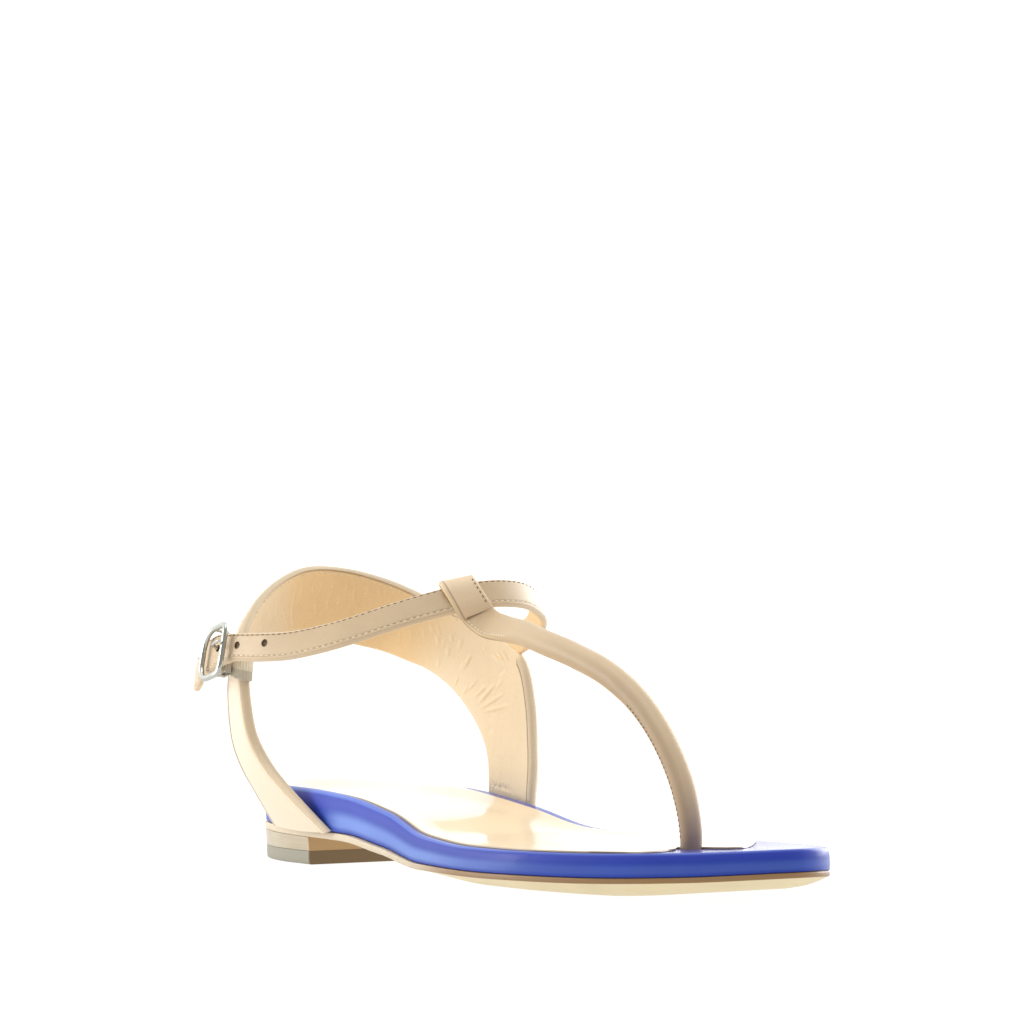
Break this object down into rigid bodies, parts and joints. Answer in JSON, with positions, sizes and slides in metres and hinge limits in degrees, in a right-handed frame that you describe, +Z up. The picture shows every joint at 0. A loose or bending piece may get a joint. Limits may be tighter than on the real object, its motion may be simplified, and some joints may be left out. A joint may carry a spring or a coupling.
{
  "type": "flat sandal",
  "caption": "Flat T-strap sandal with a rolled toe-post strap, heel band, buckled ankle strap and low heel under a moulded leather-wrapped footbed.",
  "frame": {"origin": "on the floor under the middle of the sandal's box", "axes": "+Z up, -Y towards the toe, +X towards the inner (big toe) side, -X towards the buckle"},
  "size_m": [0.0886, 0.247, 0.0882],
  "materials": {
    "outsole": "smooth cream sole leather with a brown painted edge",
    "heel_block": "nude leather cover",
    "heel_top_lift": "matt taupe rubber",
    "footbed": "smooth cobalt leather with a soft sheen",
    "insole_sock": "glossy nude leather",
    "upper": "rose-beige leather, cream lining",
    "buckle_elastic": "ribbed elastic",
    "buckle_frame": "polished silver wire",
    "buckle_prong": "polished silver wire"
  },
  "bodies": {
    "root": {"outsole": "outsole", "heel_block": "heel_block", "heel_top_lift": "heel_top_lift", "footbed": "footbed", "insole_sock": "insole_sock", "upper": "upper", "buckle_elastic": "buckle_elastic", "buckle_frame": "buckle_frame", "buckle_prong": "buckle_prong"}
  },
  "joints": []
}
